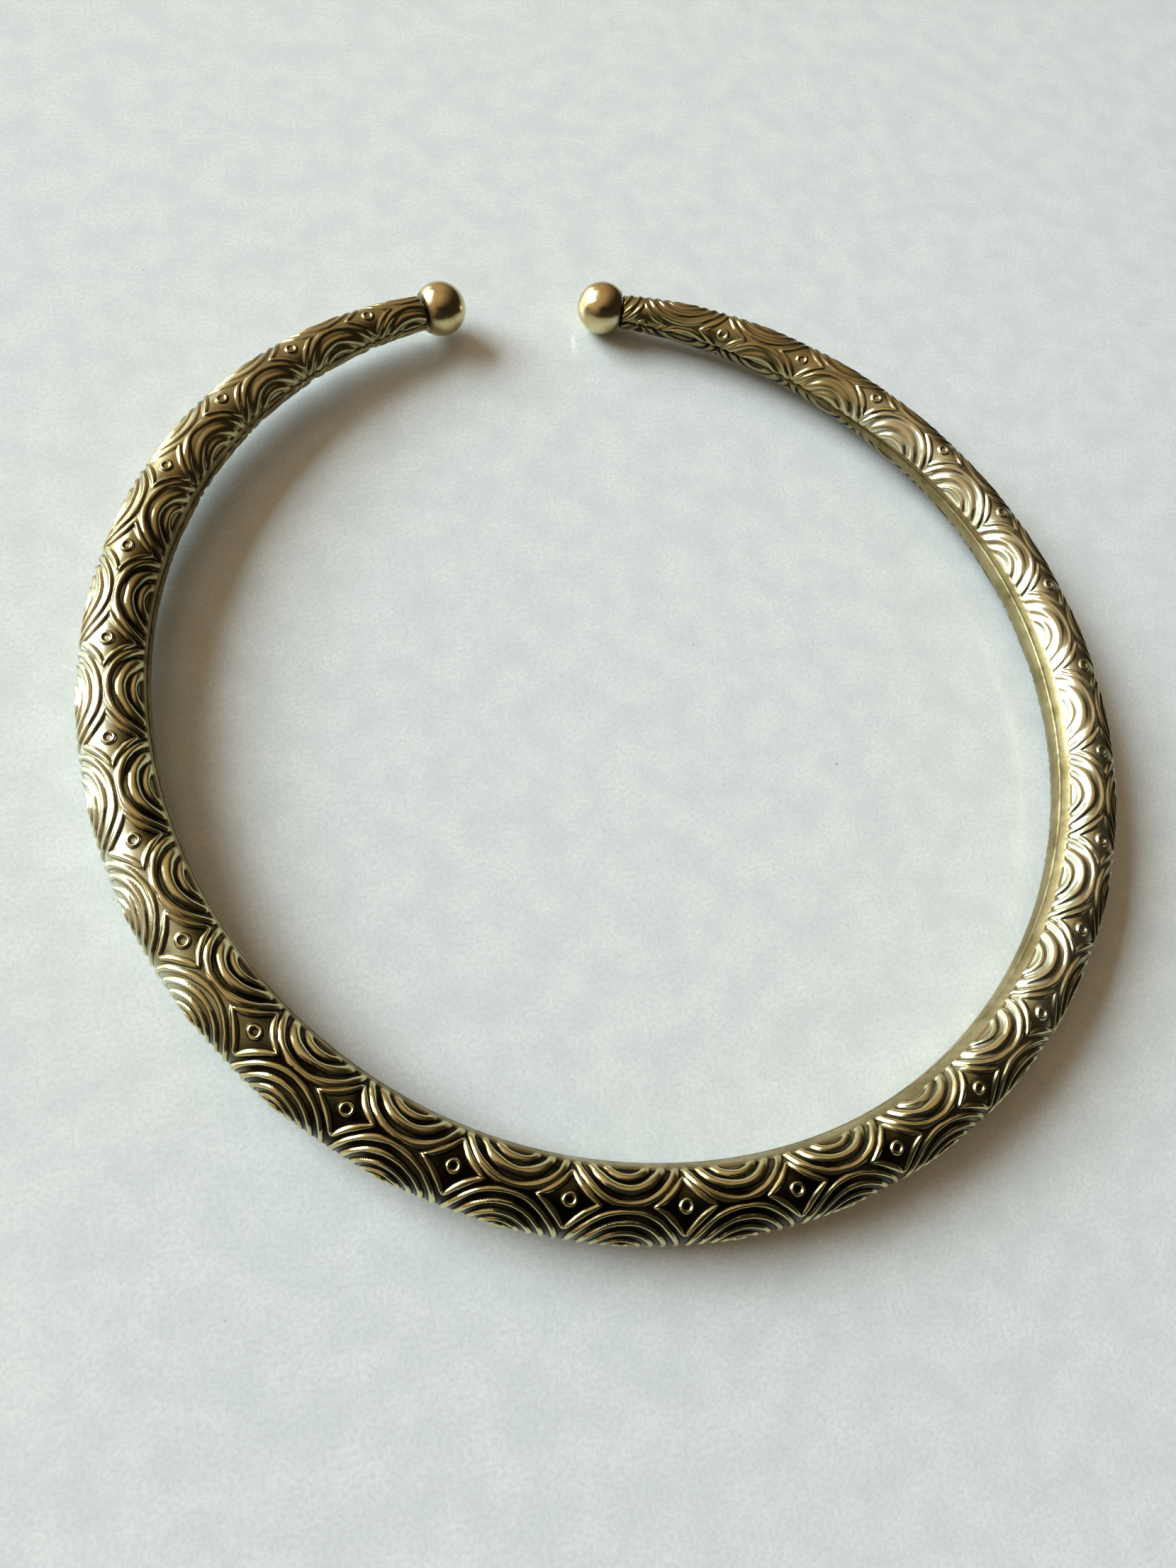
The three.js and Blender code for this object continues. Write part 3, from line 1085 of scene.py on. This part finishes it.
@dataclass
class EndBall:
    """A ball plugged into one end of the tube: spigot, flat seat and ball, turned about one axis."""

    side: Side
    tube: Tube = Tube()
    set_off: float = 3.15
    joint_gap: float = 0.3
    spigot_radius: float = 1.0
    spigot_length: float = 3.0
    seat_edge: float = 0.12
    arc_inset: float = 0.02
    soiled: Range = (-0.55, -0.74)
    sides: int = 96
    arc_steps: int = 56

    def profile(self) -> Array:
        """The ball's outline, from the spigot's end to the pole.

        Returns:
            Distance from the axis and place on it, for each ring of the turned surface.
        """
        radius = self.tube.ball_radius
        seat = self.joint_gap - self.set_off
        tail = seat - self.joint_gap - self.spigot_length
        seat_angle = math.acos(seat / radius)
        seat_radius = radius * math.sin(seat_angle) - self.seat_edge
        spigot = [[self.spigot_radius, tail], [self.spigot_radius, seat]]
        angle = np.linspace(seat_angle - self.arc_inset, self.arc_inset, self.arc_steps)
        arc = radius * np.stack([np.sin(angle), np.cos(angle)], axis=-1)
        return np.concatenate([spigot, [[seat_radius, seat]], arc])

    def build(self, finish: Material) -> Piece:
        """Makes the ball in place.

        Args:
            finish: the metal.

        Returns:
            The piece.
        """
        end = self.side.value * self.tube.length / 2
        centre_plan, forward = self.tube.line.follow(np.array([end]))
        away = np.append(forward[0] * self.side.value, 0.0)
        up = np.array([0.0, 0.0, 1.0])
        level = np.cross(up, away)
        height = self.tube.centre_height(np.array(end))
        centre = np.append(centre_plan[0], height) + away * self.set_off

        profile = self.profile()
        turn = np.arange(self.sides) / self.sides * 2 * math.pi
        spoke = level * np.cos(turn)[:, None] - up * np.sin(turn)[:, None]
        rings = centre + profile[:, None, 1:] * away + profile[:, None, :1] * spoke
        radius = self.tube.ball_radius
        tail = centre + away * profile[0, 1]
        pole = centre + away * radius
        points = np.concatenate([rings.reshape(-1, 3), [tail, pole]])
        grid = len(profile), self.sides
        name = f"end_ball_{self.side.name.lower()}_turned"
        piece = make_piece(name, points, grid_faces(*grid), end_faces(*grid))
        nearness = smoothstep(*self.soiled, profile[:, 1] / radius)
        set_attribute(piece, "joint", np.concatenate([np.repeat(nearness, self.sides), [1, 0]]))
        piece.data.materials.append(finish)
        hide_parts(f"end_ball_{self.side.name.lower()}")
        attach(piece, "root")
        return piece


# ---- Table, light and camera ----


@dataclass
class Table:
    """The pale table top that the choker lies on."""

    half_size: float = 900.0

    def build(self, finish: Material) -> Piece:
        """Makes the table top.

        Args:
            finish: the stone.

        Returns:
            The piece.
        """
        h = self.half_size
        points = np.array([[-h, -h, 0], [h, -h, 0], [h, h, 0], [-h, h, 0]])
        top = make_piece("table_top", points, np.array([[0, 1, 2, 3]]), np.zeros((0, 3), int))
        top.data.materials.append(finish)
        return top


@dataclass(frozen=True)
class Window:
    """A bright rectangle that faces the choker: angles in degrees, distance and size in metres."""

    name: str
    turn: float
    rise: float
    distance: float
    size: tuple[float, float]
    watts: float
    colour: str = "#e7f6ff"

    def build(self) -> None:
        """Makes the window as an area light that faces the middle of the table."""
        data = bpy.data.lights.new(self.name, "AREA")
        data.shape = "RECTANGLE"
        data.size, data.size_y = self.size
        data.energy = self.watts
        data.color = linear(self.colour)[:3]
        lamp = bpy.data.objects.new(self.name, data)
        bpy.context.scene.collection.objects.link(lamp)
        turn, rise = math.radians(self.turn), math.radians(self.rise)
        level = math.cos(rise)
        towards = np.array([level * math.cos(turn), level * math.sin(turn), math.sin(rise)])
        side = np.array([-math.sin(turn), math.cos(turn), 0.0])
        matrix = np.eye(4)
        matrix[:3, 0], matrix[:3, 1], matrix[:3, 2] = side, np.cross(towards, side), towards
        matrix[:3, 3] = towards * self.distance
        lamp.matrix_world = Matrix(matrix.tolist())


@dataclass(frozen=True)
class Studio:
    """Soft light: two windows behind and to the left, a dim room, and a dark board over the front.

    Turns are degrees from the right-hand side towards the back, and rises degrees over the table.
    The board keeps the ceiling's reflection out of the front's ground.
    """

    windows: tuple[Window, ...] = (
        Window("upper_panes", 144, 33, 8.0, (5.9, 3.9), 1000.0),
        Window("lower_panes", 134, 10, 8.0, (9.6, 2.8), 190.0),
    )
    bright_turn: float = 140.0
    bright_rise: float = 36.0
    room: str = "#30271c"
    ceiling: str = "#c4a988"
    brightening: Range = (-0.05, 0.8)
    board_low: Range = (-110.0, -420.0)
    board_high: Range = (130.0, -30.0)
    board_height: float = 150.0

    def build(self, board_finish: Material) -> None:
        """Makes the windows, the room and the board, and shows light without a film curve.

        Args:
            board_finish: the board's material.
        """
        for window in self.windows:
            window.build()
        self.build_room()
        self.build_board(board_finish)
        bpy.context.scene.view_settings.view_transform = "Standard"

    def build_board(self, finish: Material) -> None:
        """The dark board, which shows only in reflections.

        Args:
            finish: its material.
        """
        (x0, y0), (x1, y1), z = self.board_low, self.board_high, self.board_height
        points = np.array([[x0, y0, z], [x0, y1, z], [x1, y1, z], [x1, y0, z]])
        board = make_piece("dark_board", points, np.array([[0, 1, 2, 3]]), np.zeros((0, 3), int))
        board.data.materials.append(finish)
        board.visible_camera = board.visible_diffuse = board.visible_shadow = False

    def build_room(self) -> None:
        """The room as a world: paler the nearer a direction lies to the brightest one."""
        world = bpy.data.worlds.new("room")
        bpy.context.scene.world = world
        world.use_nodes = True
        tree = world.node_tree
        tree.nodes.clear()
        turn, rise = math.radians(self.bright_turn), math.radians(self.bright_rise)
        window = (math.cos(rise) * math.cos(turn), math.cos(rise) * math.sin(turn), math.sin(rise))
        direction = add_node(tree, "TexCoord").outputs["Generated"]
        product = add_node(tree, "VectorMath", {0: direction, 1: window}, operation="DOT_PRODUCT")
        paler = remap(tree, product.outputs["Value"], self.brightening)
        light = {"Color": blend(tree, paler, self.room, self.ceiling), "Strength": 1.0}
        background = add_node(tree, "Background", light)
        add_node(tree, "OutputWorld", {"Surface": background.outputs[0]})


@dataclass(frozen=True)
class DarkFelt:
    """Dull dark felt on a board, a little uneven."""

    nap: str = "#1a1714"
    worn: str = "#26211c"
    nap_mm: float = 20.0

    def material(self) -> Material:
        """The node material of the board.

        Returns:
            The material.
        """
        material, tree, place = new_material("dark_felt_glued")
        worn = remap(tree, grain(tree, place, self.nap_mm), (0.35, 0.65))
        surface_of(tree, blend(tree, worn, self.nap, self.worn), 1.0)
        return material


@dataclass(frozen=True)
class Viewpoint:
    """The camera: held over the front left of the choker, looking down and a little across it."""

    place: tuple[float, float, float] = (-46.938, -63.824, 147.998)
    turned: tuple[float, float, float] = (21.7297, -9.8508, -13.5124)
    lens: float = 26.04
    film: float = 36.0
    nearest: float = 0.005

    def build(self) -> None:
        """Makes the scene's camera, with its focal length on the picture's long side."""
        data = bpy.data.cameras.new("camera")
        data.sensor_fit = "VERTICAL"
        data.sensor_height = self.film
        data.lens = self.lens
        data.clip_start = self.nearest
        camera = bpy.data.objects.new("camera", data)
        camera.location = [c * METRES for c in self.place]
        camera.rotation_euler = [math.radians(a) for a in self.turned]
        bpy.context.scene.collection.objects.link(camera)
        bpy.context.scene.camera = camera


def report(pieces: list[Piece]) -> None:
    """Logs each piece with its number of faces."""
    for piece in pieces:
        LOG.info("%s: %d faces", piece.name, len(piece.data.polygons))


def main() -> None:
    """Builds the choker's looks, its table, light and camera, and logs the faces of each piece."""
    logging.basicConfig(level=logging.INFO, format="%(name)s: %(message)s")
    Viewpoint().build()
    antique = AntiqueBrass().material()
    polished = PolishedBrass().material()
    pieces = Collar().build(antique)
    pieces += [EndBall(side).build(polished) for side in Side]
    report(pieces)
    report([Table().build(PaleStone().material())])
    Studio().build(DarkFelt().material())


if __name__ == "__main__":
    main()
